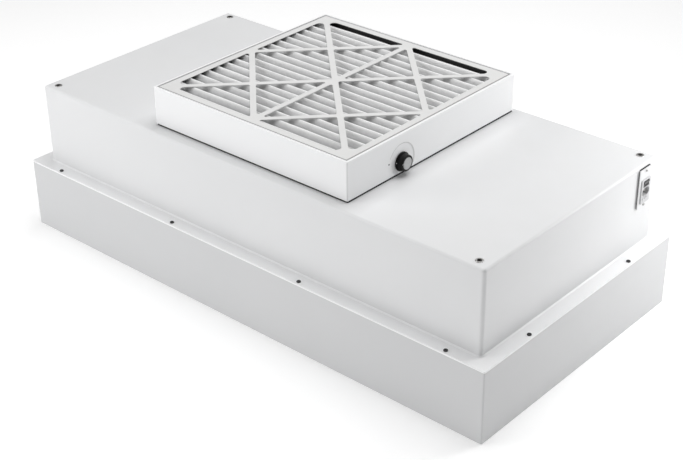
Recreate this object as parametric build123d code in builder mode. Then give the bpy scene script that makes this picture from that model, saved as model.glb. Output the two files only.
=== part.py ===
from build123d import *
import os
from math import cos, radians, sin

# Fan filter unit: a ceiling module that draws room air down through a pleated
# pre-filter, drives it with a centrifugal fan and pushes it out through a HEPA
# panel. Millimetres, +Z up. The origin is the centre of the bottom rim, +X points
# to the end that carries the power inlet.

os.makedirs("parts", exist_ok=True)

# ---- driving dimensions ----

CASE_L = 1210.0  # length of the filter case, 47 5/8 in
CASE_W = 606.0  # width of the filter case, 23 7/8 in
LEDGE_Z = 154.0  # height of the ledge round the plenum
LEDGE = 30.0  # width of the ledge
PLENUM_TOP = 328.0  # height of the plenum's top
SHEET = 1.5  # sheet metal of case and plenum
THIN_SHEET = 1.2  # sheet metal of the pre-filter housing

HOUSING = 504.0  # side of the square pre-filter housing
HOUSING_Y = 5.0  # the housing and the fan sit a little behind the middle
HOUSING_TOP = 410.0
GASKET_T = 3.5  # dark gasket between plenum and pre-filter housing
PANEL = 487.0  # side of the pre-filter panel
PANEL_T = 22.0

KNOB_Y = -96.0  # axis of the speed knob, on the housing's +X face
KNOB_Z = 354.0
KNOB_START = 80.0  # the pointer rests this far anticlockwise of straight up
INLET_Y = 228.0  # middle of the power plate, on the plenum's +X end
PLATE_Z = 280.0
MODULE_Z = 274.0

# ---- derived sizes and shared places ----

PLENUM_L = CASE_L - 2 * LEDGE
PLENUM_W = CASE_W - 2 * LEDGE
JOINT_T = 2.0  # gasket between the case's and the plenum's flanges
FLANGE_Z = LEDGE_Z - SHEET  # underside of the plenum's flange
CASE_TOP = FLANGE_Z - JOINT_T
CASE_FLANGE = 49.0  # width of the case's top flange
LIP = 24.0  # width of the case's bottom lip
CORNER_R = 3.0
PLENUM_CORNER_R = 7.0
PLENUM_EDGE_R = 6.0
TIGHT = 0.1  # play of a screw in its tapped hole

FILTER_L = 1198.0  # HEPA panel
FILTER_W = 594.0
FILTER_Z = 7.5
FILTER_H = 90.0
FILTER_TOP = FILTER_Z + FILTER_H
FILTER_WALL = 2.0
FILTER_RIM = 16.0

HOUSING_Z = PLENUM_TOP + GASKET_T
SHELF_Z = 386.0  # underside of the shelf that carries the pre-filter panel
RIM = 5.0  # width of the rim round the panel
POCKET = HOUSING - 2 * RIM
PANEL_Z = HOUSING_TOP - 0.5 - PANEL_T
PANEL_TOP = PANEL_Z + PANEL_T

FAN_Y = HOUSING_Y
FAN_AXIS = Axis((0, FAN_Y, 0), (0, 0, 1))
FAN_SECTION = Plane(origin=(0, FAN_Y, 0), x_dir=(1, 0, 0), z_dir=(0, -1, 0))
THROAT_R = 98.0
WHEEL_R = 145.0
BACK_PLATE_Z = 197.0
BLADE_Z = 200.0
SHROUD_Z = 256.0
BRACKET_Z = 175.0
BRACKET_T = 3.0
MOTOR_Z = BRACKET_Z + BRACKET_T
POST_SPAN = 330.0
POST_R = 7.0

END_X = PLENUM_L / 2  # the plenum's +X end
PLATE_SCREWS = [(INLET_Y, PLATE_Z - 36), (INLET_Y, PLATE_Z + 36)]
END_FACE = Plane.YZ.offset(END_X)
HOUSING_X = HOUSING / 2
KNOB_FACE = Plane(origin=(HOUSING_X, KNOB_Y, KNOB_Z), x_dir=(0, 1, 0), z_dir=(1, 0, 0))
KNOB_SECTION = Plane(origin=(HOUSING_X, KNOB_Y, KNOB_Z), x_dir=(1, 0, 0), z_dir=(0, -1, 0))
KNOB_AXIS = Axis((HOUSING_X, KNOB_Y, KNOB_Z), (1, 0, 0))

LEDGE_SCREW_INSET = 8.0
LONG_SIDE_Y = CASE_W / 2 - LEDGE_SCREW_INSET
END_SCREW_X = CASE_L / 2 - LEDGE_SCREW_INSET
LONG_SIDE_SCREWS = [(x, side * LONG_SIDE_Y) for x in (-516, -172, 172, 516) for side in (-1, 1)]
END_SCREWS = [(side * END_SCREW_X, y) for y in (-162, 162) for side in (-1, 1)]
LEDGE_SCREWS = LONG_SIDE_SCREWS + END_SCREWS
HANGERS = [(x, y) for x in (-549, 549) for y in (-253, 253)]
POSTS = [(x * POST_SPAN / 2, FAN_Y + y * POST_SPAN / 2) for x in (-1, 1) for y in (-1, 1)]
SCREW_LINE = HOUSING_X - 11
HOUSING_SCREWS = [(side * SCREW_LINE, HOUSING_Y + step) for side in (-1, 1) for step in (-150, 150)]
HOUSING_SCREWS += [(step, HOUSING_Y + side * SCREW_LINE) for side in (-1, 1) for step in (-150, 150)]
RING_SCREW_R = 158.0
CABLE_HOLE = (190.0, KNOB_Y)  # where the control cable comes up through the plenum's top

# Each clamp stands against an inside wall: its own +X points into the case.
CLAMP_Z = 22.0  # height of the stud above the filter
INSIDE_X = CASE_L / 2 - SHEET
INSIDE_Y = CASE_W / 2 - SHEET
CLAMPS = [Location((x, INSIDE_Y, FILTER_TOP), (0, 0, -90)) for x in (-400, 0, 400)]
CLAMPS += [Location((x, -INSIDE_Y, FILTER_TOP), (0, 0, 90)) for x in (-400, 0, 400)]
CLAMPS += [Location((-INSIDE_X, 0, FILTER_TOP)), Location((INSIDE_X, 0, FILTER_TOP), (0, 0, 180))]


# ---- shapes used by several pieces ----


def pan_screw(shank_r, length, head_r, head_h):
    """A cross-recess pan-head screw, head up, with its head's underside at z = 0."""
    with BuildPart() as screw:
        Cylinder(shank_r, length, align=(Align.CENTER, Align.CENTER, Align.MAX))
        Cylinder(head_r, head_h, align=(Align.CENTER, Align.CENTER, Align.MIN))
        fillet(screw.edges().sort_by(Axis.Z)[-1], radius=head_h * 0.45)
        with Locations((0, 0, head_h)):
            for turn in (0, 90):
                Box(head_r * 1.1, head_r * 0.28, head_h, rotation=(0, 0, turn), mode=Mode.SUBTRACT)
    return screw.part


def rubber_grommet(cable_r, hole_r, wall):
    """A cable grommet in a sheet that lies between z = 0 and z = -wall."""
    lip = 2.0
    with BuildPart() as grommet:
        with Locations((0, 0, -wall / 2)):
            Cylinder(hole_r, wall)
            with Locations((0, 0, (wall + lip) / 2), (0, 0, -(wall + lip) / 2)):
                Cylinder(hole_r + 2.5, lip)
            Cylinder(cable_r + TIGHT, wall + 3 * lip, mode=Mode.SUBTRACT)
    return grommet.part


def pleat_points(length, height, folds, thickness):
    """Outline of a pleated sheet: valleys at both ends, thickness measured upright."""
    rise = height - thickness
    steps = [(-length / 2 + i * length / (2 * folds), rise * (i % 2)) for i in range(2 * folds + 1)]
    return [(x, z + thickness) for x, z in steps] + [(x, z) for x, z in reversed(steps)]


# ---- filter case: sheet box with a bottom lip, a top flange and clamp studs ----

with BuildPart() as filter_case:
    with BuildSketch():
        RectangleRounded(CASE_L, CASE_W, CORNER_R)
        Rectangle(CASE_L - 2 * LIP, CASE_W - 2 * LIP, mode=Mode.SUBTRACT)
    extrude(amount=SHEET)
    with BuildSketch():
        RectangleRounded(CASE_L, CASE_W, CORNER_R)
        RectangleRounded(CASE_L - 2 * SHEET, CASE_W - 2 * SHEET, CORNER_R - SHEET, mode=Mode.SUBTRACT)
    extrude(amount=CASE_TOP)
    with BuildSketch(Plane.XY.offset(CASE_TOP)):
        RectangleRounded(CASE_L, CASE_W, CORNER_R)
        Rectangle(CASE_L - 2 * CASE_FLANGE, CASE_W - 2 * CASE_FLANGE, mode=Mode.SUBTRACT)
        with Locations(*LEDGE_SCREWS):
            Circle(2.0 + TIGHT, mode=Mode.SUBTRACT)
    extrude(amount=-SHEET)
    low_edges = filter_case.edges().filter_by(GeomType.LINE).filter_by_position(Axis.Z, 0, 0)
    outer_rim = low_edges.filter_by(
        lambda edge: max(abs(edge.center().X) - CASE_L / 2, abs(edge.center().Y) - CASE_W / 2) > -0.01
    )
    fillet(outer_rim, radius=1.2)
    with Locations(*CLAMPS):
        with Locations((0, 0, CLAMP_Z)):
            Cylinder(2.5, 12, rotation=(0, 90, 0), align=(Align.CENTER, Align.CENTER, Align.MIN))
filter_case.part.label = "filter_case"
export_step(filter_case.part, "parts/filter_case.step")

# ---- HEPA panel and what holds it ----

with BuildPart() as hepa_gasket:
    with BuildSketch(Plane.XY.offset(SHEET)):
        Rectangle(FILTER_L - 4, FILTER_W - 4)
        Rectangle(FILTER_L - 28, FILTER_W - 28, mode=Mode.SUBTRACT)
    extrude(amount=FILTER_Z - SHEET)
hepa_gasket.part.label = "hepa_gasket"
export_step(hepa_gasket.part, "parts/hepa_gasket.step")

with BuildPart() as hepa_frame:
    with BuildSketch(Plane.XY.offset(FILTER_Z)):
        Rectangle(FILTER_L, FILTER_W)
        Rectangle(FILTER_L - 2 * FILTER_WALL, FILTER_W - 2 * FILTER_WALL, mode=Mode.SUBTRACT)
    extrude(amount=FILTER_H)
    for rim_z in (FILTER_Z, FILTER_TOP - FILTER_WALL):
        with BuildSketch(Plane.XY.offset(rim_z)):
            Rectangle(FILTER_L, FILTER_W)
            Rectangle(FILTER_L - 2 * FILTER_RIM, FILTER_W - 2 * FILTER_RIM, mode=Mode.SUBTRACT)
        extrude(amount=FILTER_WALL)
hepa_frame.part.label = "hepa_frame"
export_step(hepa_frame.part, "parts/hepa_frame.step")

INSIDE_FILTER_L = FILTER_L - 2 * FILTER_WALL
INSIDE_FILTER_W = FILTER_W - 2 * FILTER_WALL
MEDIA_Z = 18.0
MEDIA_H = 68.0

with BuildPart() as hepa_media:
    with BuildSketch(Plane.XZ):
        with BuildLine():
            outline = pleat_points(INSIDE_FILTER_L - 2, MEDIA_H, folds=100, thickness=6.0)
            Polyline(*[(x, MEDIA_Z + z) for x, z in outline], close=True)
        make_face()
    extrude(amount=INSIDE_FILTER_W / 2 - 0.5, both=True)
hepa_media.part.label = "hepa_media"
export_step(hepa_media.part, "parts/hepa_media.step")

GUARD_PITCH = 44.0

with BuildPart() as hepa_faceguard:
    with BuildSketch(Plane.XY.offset(FILTER_Z + FILTER_WALL + 1.5)):
        Rectangle(INSIDE_FILTER_L - 4, INSIDE_FILTER_W - 4)
        with GridLocations(GUARD_PITCH, GUARD_PITCH, 26, 12):
            Rectangle(GUARD_PITCH - 4, GUARD_PITCH - 4, mode=Mode.SUBTRACT)
    extrude(amount=1.5)
hepa_faceguard.part.label = "hepa_faceguard"
export_step(hepa_faceguard.part, "parts/hepa_faceguard.step")

with BuildPart() as clamp:
    with BuildSketch(Plane.XZ):
        with BuildLine():
            Polyline((0, 0), (18, 0), (18, 2), (2, 2), (2, 40), (0, 40), close=True)
        make_face()
    extrude(amount=15, both=True)
    with BuildSketch(Plane.YZ):
        with Locations((0, CLAMP_Z)):
            SlotOverall(12, 5.4, rotation=90)
    extrude(amount=2, mode=Mode.SUBTRACT)

with BuildPart() as filter_clamps:
    with Locations(*CLAMPS):
        add(clamp.part)
filter_clamps.part.label = "filter_clamps"
export_step(filter_clamps.part, "parts/filter_clamps.step")

with BuildPart() as nut:
    with BuildSketch(Plane.YZ.offset(2)):
        with Locations((0, CLAMP_Z)):
            RegularPolygon(4, 6, major_radius=False)
            Circle(2.5 + TIGHT, mode=Mode.SUBTRACT)
    extrude(amount=4)

with BuildPart() as clamp_nuts:
    with Locations(*CLAMPS):
        add(nut.part)
clamp_nuts.part.label = "clamp_nuts"
export_step(clamp_nuts.part, "parts/clamp_nuts.step")

SCREEN_PITCH = 48.0

with BuildPart() as diffuser_screen:
    with BuildSketch(Plane.XY.offset(CASE_TOP)):
        Rectangle(PLENUM_L - 12, PLENUM_W - 12)
        with GridLocations(SCREEN_PITCH, SCREEN_PITCH, 23, 10):
            Rectangle(38, 38, mode=Mode.SUBTRACT)
    extrude(amount=SHEET)
diffuser_screen.part.label = "diffuser_screen"
export_step(diffuser_screen.part, "parts/diffuser_screen.step")

with BuildPart() as joint_gasket:
    with BuildSketch(Plane.XY.offset(CASE_TOP)):
        Rectangle(CASE_L - 30, CASE_W - 30)
        Rectangle(PLENUM_L + 4, PLENUM_W + 4, mode=Mode.SUBTRACT)
    extrude(amount=JOINT_T)
joint_gasket.part.label = "joint_gasket"
export_step(joint_gasket.part, "parts/joint_gasket.step")

# ---- plenum: deep sheet box, open below ----

INLET_HOLE_R = 141.5
GROMMET_R = 7.0
CUTOUT = (30.0, 52.0)  # in the plenum's wall, behind the inlet module

with BuildPart() as plenum_shell:
    with BuildSketch(Plane.XY.offset(FLANGE_Z)):
        RectangleRounded(PLENUM_L, PLENUM_W, PLENUM_CORNER_R)
    extrude(amount=PLENUM_TOP - FLANGE_Z)
    fillet(plenum_shell.faces().sort_by(Axis.Z)[-1].edges(), radius=PLENUM_EDGE_R)
    offset(amount=-SHEET, openings=plenum_shell.faces().sort_by(Axis.Z)[0])
    with BuildSketch(Plane.XY.offset(PLENUM_TOP)):
        with Locations((0, FAN_Y)):
            Circle(INLET_HOLE_R)
            with PolarLocations(RING_SCREW_R, 8, start_angle=22.5):
                Circle(2.0 + TIGHT)
        with Locations(*HANGERS):
            Circle(6.6)
        with Locations(*POSTS):
            Circle(3.2)
        with Locations(*HOUSING_SCREWS):
            Circle(2.0 + TIGHT)
        with Locations(CABLE_HOLE):
            Circle(GROMMET_R)
    extrude(amount=-2 * SHEET, mode=Mode.SUBTRACT)
    with BuildSketch(END_FACE):
        with Locations((INLET_Y, MODULE_Z)):
            Rectangle(*CUTOUT)
        with Locations(*PLATE_SCREWS):
            Circle(1.5 + TIGHT)
    extrude(amount=-2 * SHEET, mode=Mode.SUBTRACT)
plenum_shell.part.label = "plenum_shell"
export_step(plenum_shell.part, "parts/plenum_shell.step")

# The flange is welded round the box's foot and forms the ledge; its rim turns down over the case.
BEAD = 2.5  # leg of the ground weld between flange and box

with BuildPart() as ledge_flange:
    with BuildSketch(Plane.XY.offset(LEDGE_Z)):
        RectangleRounded(PLENUM_L + 2 * BEAD, PLENUM_W + 2 * BEAD, PLENUM_CORNER_R + BEAD)
    extrude(amount=BEAD)
    chamfer(ledge_flange.faces().sort_by(Axis.Z)[-1].edges(), length=BEAD - 0.1)
    with BuildSketch(Plane.XY.offset(FLANGE_Z)):
        RectangleRounded(CASE_L, CASE_W, CORNER_R)
        with Locations(*LEDGE_SCREWS):
            Circle(2.3, mode=Mode.SUBTRACT)
    extrude(amount=SHEET)
    with BuildSketch(Plane.XY.offset(CASE_TOP)):
        RectangleRounded(CASE_L, CASE_W, CORNER_R)
        RectangleRounded(CASE_L - 2 * SHEET, CASE_W - 2 * SHEET, CORNER_R - SHEET, mode=Mode.SUBTRACT)
    extrude(amount=JOINT_T)
    with BuildSketch(Plane.XY.offset(FLANGE_Z)):
        RectangleRounded(PLENUM_L, PLENUM_W, PLENUM_CORNER_R)
    extrude(amount=10, mode=Mode.SUBTRACT)
ledge_flange.part.label = "ledge_flange"
export_step(ledge_flange.part, "parts/ledge_flange.step")

with BuildPart() as ledge_screws:
    with Locations(*[(x, y, LEDGE_Z) for x, y in LEDGE_SCREWS]):
        add(pan_screw(shank_r=2.0, length=12, head_r=4.2, head_h=2.4))
ledge_screws.part.label = "ledge_screws"
export_step(ledge_screws.part, "parts/ledge_screws.step")

INSERT_BORE_R = 4.25  # tapping size of an M10 thread
INSERT_FLANGE = 1.2

with BuildPart() as hanger_inserts:
    with BuildSketch(Plane.XY.offset(PLENUM_TOP)):
        with Locations(*HANGERS):
            Circle(7.6)
    extrude(amount=INSERT_FLANGE)
    fillet(hanger_inserts.edges().group_by(Axis.Z)[-1], radius=0.6)
    with BuildSketch(Plane.XY.offset(PLENUM_TOP)):
        with Locations(*HANGERS):
            Circle(6.5)
    extrude(amount=-18)
    with BuildSketch(Plane.XY.offset(PLENUM_TOP + INSERT_FLANGE)):
        with Locations(*HANGERS):
            Circle(INSERT_BORE_R)
    extrude(amount=-18 - INSERT_FLANGE, mode=Mode.SUBTRACT)
hanger_inserts.part.label = "hanger_inserts"
export_step(hanger_inserts.part, "parts/hanger_inserts.step")

# ---- acoustic foam: two pads under the top and four along the walls ----

PAD = 12.0
PAD_Z = 160.0
PAD_TOP = 310.0
PAD_X = END_X - SHEET - PAD / 2
PAD_Y = PLENUM_W / 2 - SHEET - PAD / 2

with BuildPart() as acoustic_liner:
    with BuildSketch(Plane.XY.offset(PLENUM_TOP - SHEET)):
        with Locations((-370, 0), (370, 0)):
            Rectangle(290, 500)
    extrude(amount=-PAD)
    with BuildSketch(Plane.XY.offset(PAD_Z)):
        with Locations((0, -PAD_Y)):
            Rectangle(1120, PAD)
        with Locations((-22.5, PAD_Y)):
            Rectangle(1075, PAD)
        with Locations((-PAD_X, 0)):
            Rectangle(PAD, 500)
        with Locations((PAD_X, -26)):
            Rectangle(PAD, 448)
    extrude(amount=PAD_TOP - PAD_Z)
acoustic_liner.part.label = "acoustic_liner"
export_step(acoustic_liner.part, "parts/acoustic_liner.step")

# ---- fan inlet: bell-mouth spun from sheet, screwed over the hole in the top ----

BELL_R = 42.0
BELL_Z = PLENUM_TOP + SHEET - BELL_R  # height of the arc's centre
BELL_X = THROAT_R + BELL_R
DIAGONAL = sin(radians(45))

with BuildPart() as inlet_ring:
    with BuildSketch(FAN_SECTION):
        with BuildLine():
            ring_top = PLENUM_TOP + SHEET
            Polyline((BELL_X, PLENUM_TOP), (172, PLENUM_TOP), (172, ring_top), (BELL_X, ring_top))
            ThreePointArc(
                (BELL_X, ring_top),
                (BELL_X - BELL_R * DIAGONAL, BELL_Z + BELL_R * DIAGONAL),
                (THROAT_R, BELL_Z),
            )
            throat_out = THROAT_R + SHEET
            Polyline((THROAT_R, BELL_Z), (THROAT_R, 280), (throat_out, 280), (throat_out, BELL_Z))
            ThreePointArc(
                (throat_out, BELL_Z),
                (BELL_X - (BELL_R - SHEET) * DIAGONAL, BELL_Z + (BELL_R - SHEET) * DIAGONAL),
                (BELL_X, PLENUM_TOP),
            )
        make_face()
    revolve(axis=FAN_AXIS)
    with BuildSketch(Plane.XY.offset(PLENUM_TOP + SHEET)):
        with Locations((0, FAN_Y)):
            with PolarLocations(RING_SCREW_R, 8, start_angle=22.5):
                Circle(2.3)
    extrude(amount=-SHEET, mode=Mode.SUBTRACT)
inlet_ring.part.label = "inlet_ring"
export_step(inlet_ring.part, "parts/inlet_ring.step")

with BuildPart() as inlet_ring_screws:
    with Locations((0, FAN_Y, PLENUM_TOP + SHEET)):
        with PolarLocations(RING_SCREW_R, 8, start_angle=22.5):
            add(pan_screw(shank_r=2.0, length=10, head_r=4.0, head_h=2.4))
inlet_ring_screws.part.label = "inlet_ring_screws"
export_step(inlet_ring_screws.part, "parts/inlet_ring_screws.step")

# ---- motor mounting: a spider hung from the plenum's top on four posts ----

with BuildPart() as motor_posts:
    with BuildSketch(Plane.XY.offset(MOTOR_Z)):
        with Locations(*POSTS):
            Circle(POST_R)
            Circle(3.0 + TIGHT, mode=Mode.SUBTRACT)
    extrude(amount=PLENUM_TOP - SHEET - MOTOR_Z)
motor_posts.part.label = "motor_posts"
export_step(motor_posts.part, "parts/motor_posts.step")

POST_DIAGONAL = POST_SPAN / (2 * DIAGONAL)
MOTOR_SCREW_R = 45.0

with BuildPart() as motor_bracket:
    with BuildSketch(Plane.XY.offset(BRACKET_Z)):
        with Locations((0, FAN_Y)):
            Circle(62)
            for turn in (45, 135):
                SlotCenterToCenter(2 * POST_DIAGONAL, 32, rotation=turn)
            Circle(20, mode=Mode.SUBTRACT)
            with PolarLocations(MOTOR_SCREW_R, 4):
                Circle(2.5 + TIGHT, mode=Mode.SUBTRACT)
        with Locations(*POSTS):
            Circle(3.2, mode=Mode.SUBTRACT)
    extrude(amount=BRACKET_T)
motor_bracket.part.label = "motor_bracket"
export_step(motor_bracket.part, "parts/motor_bracket.step")

with BuildPart() as post_screws:
    with Locations(*[(x, y, PLENUM_TOP) for x, y in POSTS]):
        add(pan_screw(shank_r=3.0, length=16, head_r=5.5, head_h=3.6))
    with Locations(*[Location((x, y, BRACKET_Z), (180, 0, 0)) for x, y in POSTS]):
        add(pan_screw(shank_r=3.0, length=16, head_r=5.5, head_h=3.6))
post_screws.part.label = "post_screws"
export_step(post_screws.part, "parts/post_screws.step")

# ---- motor: outer-rotor type, its wound stator stands on the spider ----

SHAFT_R = 6.0
BEARING_R = 14.0
STATOR_R = 50.0
STATOR_FLANGE_R = 56.0
STACK_Z = (196.0, 232.0)
BEARING_ZS = (182.0, 226.0)
BEARING_H = 8.0

with BuildPart() as motor_stator:
    with BuildSketch(Plane.XY.offset(MOTOR_Z)):
        with Locations((0, FAN_Y)):
            Circle(STATOR_FLANGE_R)
            with PolarLocations(MOTOR_SCREW_R, 4):
                Circle(2.5 + TIGHT, mode=Mode.SUBTRACT)
    extrude(amount=8)
    with BuildSketch(Plane.XY.offset(MOTOR_Z)):
        with Locations((0, FAN_Y)):
            Circle(BEARING_R + 4)
    extrude(amount=58)
    with BuildSketch(Plane.XY.offset(STACK_Z[0])):
        with Locations((0, FAN_Y)):
            Circle(STATOR_R)
    extrude(amount=STACK_Z[1] - STACK_Z[0])
    with BuildSketch(Plane.XY.offset(MOTOR_Z)):
        with Locations((0, FAN_Y)):
            Circle(BEARING_R)
    extrude(amount=58, mode=Mode.SUBTRACT)
motor_stator.part.label = "motor_stator"
export_step(motor_stator.part, "parts/motor_stator.step")

with BuildPart() as motor_windings:
    for coil_z in (STACK_Z[0] - 7, STACK_Z[1]):
        with BuildSketch(Plane.XY.offset(coil_z)):
            with Locations((0, FAN_Y)):
                Circle(44)
                Circle(24, mode=Mode.SUBTRACT)
        extrude(amount=7)
    fillet(motor_windings.edges().filter_by(GeomType.CIRCLE), radius=2.5)
motor_windings.part.label = "motor_windings"
export_step(motor_windings.part, "parts/motor_windings.step")

with BuildPart() as motor_bearings:
    for bearing_z in BEARING_ZS:
        with BuildSketch(Plane.XY.offset(bearing_z)):
            with Locations((0, FAN_Y)):
                Circle(BEARING_R)
                Circle(SHAFT_R + 0.05, mode=Mode.SUBTRACT)
        extrude(amount=BEARING_H)
motor_bearings.part.label = "motor_bearings"
export_step(motor_bearings.part, "parts/motor_bearings.step")

with BuildPart() as motor_screws:
    with Locations((0, FAN_Y, BRACKET_Z)):
        with PolarLocations(MOTOR_SCREW_R, 4):
            add(pan_screw(shank_r=2.5, length=10, head_r=4.6, head_h=3.2), rotation=(180, 0, 0))
motor_screws.part.label = "motor_screws"
export_step(motor_screws.part, "parts/motor_screws.step")

# ---- fan wheel: rotor bell, shaft, back plate with backward-curved blades, shroud ----

BELL_OUT_R = 60.0
BELL_LOW_Z = 192.0
BELL_TOP_Z = 250.0
ROTOR_FLANGE_R = 74.0
ROTOR_SCREW_R = 67.5

with BuildPart() as motor_rotor:
    with BuildSketch(FAN_SECTION):
        with BuildLine():
            Polyline(
                (SHAFT_R + 0.02, BELL_TOP_Z - 4),
                (STATOR_R + 0.8, BELL_TOP_Z - 4),
                (STATOR_R + 0.8, BELL_LOW_Z),
                (BELL_OUT_R, BELL_LOW_Z),
                (BELL_OUT_R, BLADE_Z),
                (ROTOR_FLANGE_R, BLADE_Z),
                (ROTOR_FLANGE_R, BLADE_Z + 3),
                (BELL_OUT_R, BLADE_Z + 3),
                (BELL_OUT_R, BELL_TOP_Z),
                (SHAFT_R + 0.02, BELL_TOP_Z),
                close=True,
            )
        make_face()
    revolve(axis=FAN_AXIS)
    top_circles = motor_rotor.edges().filter_by(GeomType.CIRCLE).group_by(Axis.Z)[-1]
    fillet(top_circles.sort_by(SortBy.RADIUS)[-1], radius=4)
    with BuildSketch(Plane.XY.offset(BLADE_Z)):
        with Locations((0, FAN_Y)):
            with PolarLocations(ROTOR_SCREW_R, 4):
                Circle(2.0 + TIGHT)
    extrude(amount=3, mode=Mode.SUBTRACT)
motor_rotor.part.label = "motor_rotor"
export_step(motor_rotor.part, "parts/motor_rotor.step")

with BuildPart() as motor_shaft:
    with BuildSketch(Plane.XY.offset(MOTOR_Z + 2)):
        with Locations((0, FAN_Y)):
            Circle(SHAFT_R)
    extrude(amount=BELL_TOP_Z + 2 - MOTOR_Z - 2)
    chamfer(motor_shaft.edges().sort_by(Axis.Z)[-1], length=0.8)
motor_shaft.part.label = "motor_shaft"
export_step(motor_shaft.part, "parts/motor_shaft.step")

BLADE_COUNT = 7
BLADE_INNER_R = 80.0
BLADE_SWEEP = 42.0  # degrees that a blade leans back from root to tip

with BuildSketch() as blade:
    with BuildLine():
        tip = (WHEEL_R - 3) * cos(radians(BLADE_SWEEP)), (WHEEL_R - 3) * sin(radians(BLADE_SWEEP))
        SagittaArc((BLADE_INNER_R, 0), tip, 14)
    trace(line_width=2.5)

with BuildPart() as impeller_wheel:
    with BuildSketch(Plane.XY.offset(BACK_PLATE_Z)):
        with Locations((0, FAN_Y)):
            Circle(WHEEL_R)
            Circle(BELL_OUT_R + 0.5, mode=Mode.SUBTRACT)
            with PolarLocations(ROTOR_SCREW_R, 4):
                Circle(2.0 + TIGHT, mode=Mode.SUBTRACT)
    extrude(amount=BLADE_Z - BACK_PLATE_Z)
    with BuildSketch(Plane.XY.offset(BLADE_Z)):
        with Locations((0, FAN_Y)):
            with PolarLocations(0, BLADE_COUNT):
                add(blade.sketch)
    extrude(amount=SHROUD_Z - BLADE_Z)
impeller_wheel.part.label = "impeller_wheel"
export_step(impeller_wheel.part, "parts/impeller_wheel.step")

COLLAR_R = 102.0  # runs 2.5 mm outside the inlet ring's throat
COLLAR_TOP = 284.0
TURN_R = 14.0
SHROUD_T = 2.0

with BuildPart() as impeller_shroud:
    collar_out, face_top = COLLAR_R + SHROUD_T, SHROUD_Z + SHROUD_T
    turn_x, turn_z = collar_out + TURN_R, face_top + TURN_R
    outer_turn = TURN_R + SHROUD_T
    with BuildSketch(FAN_SECTION):
        with BuildLine():
            Polyline((turn_x, SHROUD_Z), (WHEEL_R, SHROUD_Z), (WHEEL_R, face_top), (turn_x, face_top))
            ThreePointArc(
                (turn_x, face_top),
                (turn_x - TURN_R * DIAGONAL, turn_z - TURN_R * DIAGONAL),
                (collar_out, turn_z),
            )
            Polyline(
                (collar_out, turn_z), (collar_out, COLLAR_TOP), (COLLAR_R, COLLAR_TOP), (COLLAR_R, turn_z)
            )
            ThreePointArc(
                (COLLAR_R, turn_z),
                (turn_x - outer_turn * DIAGONAL, turn_z - outer_turn * DIAGONAL),
                (turn_x, SHROUD_Z),
            )
        make_face()
    revolve(axis=FAN_AXIS)
impeller_shroud.part.label = "impeller_shroud"
export_step(impeller_shroud.part, "parts/impeller_shroud.step")

with BuildPart() as rotor_screws:
    with Locations((0, FAN_Y, BLADE_Z + 3)):
        with PolarLocations(ROTOR_SCREW_R, 4):
            add(pan_screw(shank_r=2.0, length=6, head_r=3.6, head_h=2.2))
rotor_screws.part.label = "rotor_screws"
export_step(rotor_screws.part, "parts/rotor_screws.step")

# ---- run capacitor, strapped to the plenum's top inside the pre-filter housing ----

CAP_R = 17.0
CAP_X = -204.0
CAP_Z = PLENUM_TOP + 19
CAP_Y = (-130.0, -60.0)

with BuildPart() as run_capacitor:
    with BuildSketch(Plane.XZ.offset(-CAP_Y[1])):
        with Locations((CAP_X, CAP_Z)):
            Circle(CAP_R)
    extrude(amount=CAP_Y[1] - CAP_Y[0])
    fillet(run_capacitor.edges().filter_by(GeomType.CIRCLE), radius=1.5)
    with BuildSketch(Plane.XZ.offset(-CAP_Y[1])):
        with Locations((CAP_X - 6, CAP_Z), (CAP_X + 6, CAP_Z)):
            Rectangle(0.8, 6.3)
    extrude(amount=-8)
run_capacitor.part.label = "run_capacitor"
export_step(run_capacitor.part, "parts/run_capacitor.step")

with BuildPart() as capacitor_clamp:
    with BuildSketch(Plane.XZ.offset(-CAP_Y[1] + 25)):
        with Locations((CAP_X, CAP_Z)):
            Circle(CAP_R + 1.4)
        with Locations((CAP_X, PLENUM_TOP + 0.7)):
            Rectangle(46, 1.4)
        with Locations((CAP_X, CAP_Z)):
            Circle(CAP_R + 0.05, mode=Mode.SUBTRACT)
    extrude(amount=20)
capacitor_clamp.part.label = "capacitor_clamp"
export_step(capacitor_clamp.part, "parts/capacitor_clamp.step")

# ---- power inlet: plate on a black gasket, inlet module, steel box behind it ----

BOX_DEPTH = 50.0
BOX_Y, BOX_Z = 225.5, 279.0
BOX_W, BOX_H = 41.0, 65.0
CABLE_EXITS = ((BOX_Y, 257.5), (BOX_Y, 298.0))  # motor cable, control cable
EXIT_R = 5.5

with BuildPart() as terminal_box:
    with BuildSketch(Plane.YZ.offset(END_X - SHEET)):
        with Locations((BOX_Y, BOX_Z)):
            Rectangle(BOX_W, BOX_H)
    extrude(amount=-BOX_DEPTH)
    with BuildSketch(Plane.YZ.offset(END_X - SHEET)):
        with Locations((BOX_Y, BOX_Z)):
            Rectangle(BOX_W - 2, BOX_H - 2)
    extrude(amount=1 - BOX_DEPTH, mode=Mode.SUBTRACT)
    with BuildSketch(Plane.YZ.offset(END_X - SHEET - BOX_DEPTH)):
        with Locations(*CABLE_EXITS):
            Circle(EXIT_R)
    extrude(amount=1, mode=Mode.SUBTRACT)
terminal_box.part.label = "terminal_box"
export_step(terminal_box.part, "parts/terminal_box.step")

POWER_GASKET_T = 2.5
POWER_PLATE_T = 2.0
PLATE_X = END_X + POWER_GASKET_T + POWER_PLATE_T
PLATE_FACE = Plane.YZ.offset(PLATE_X)

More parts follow.
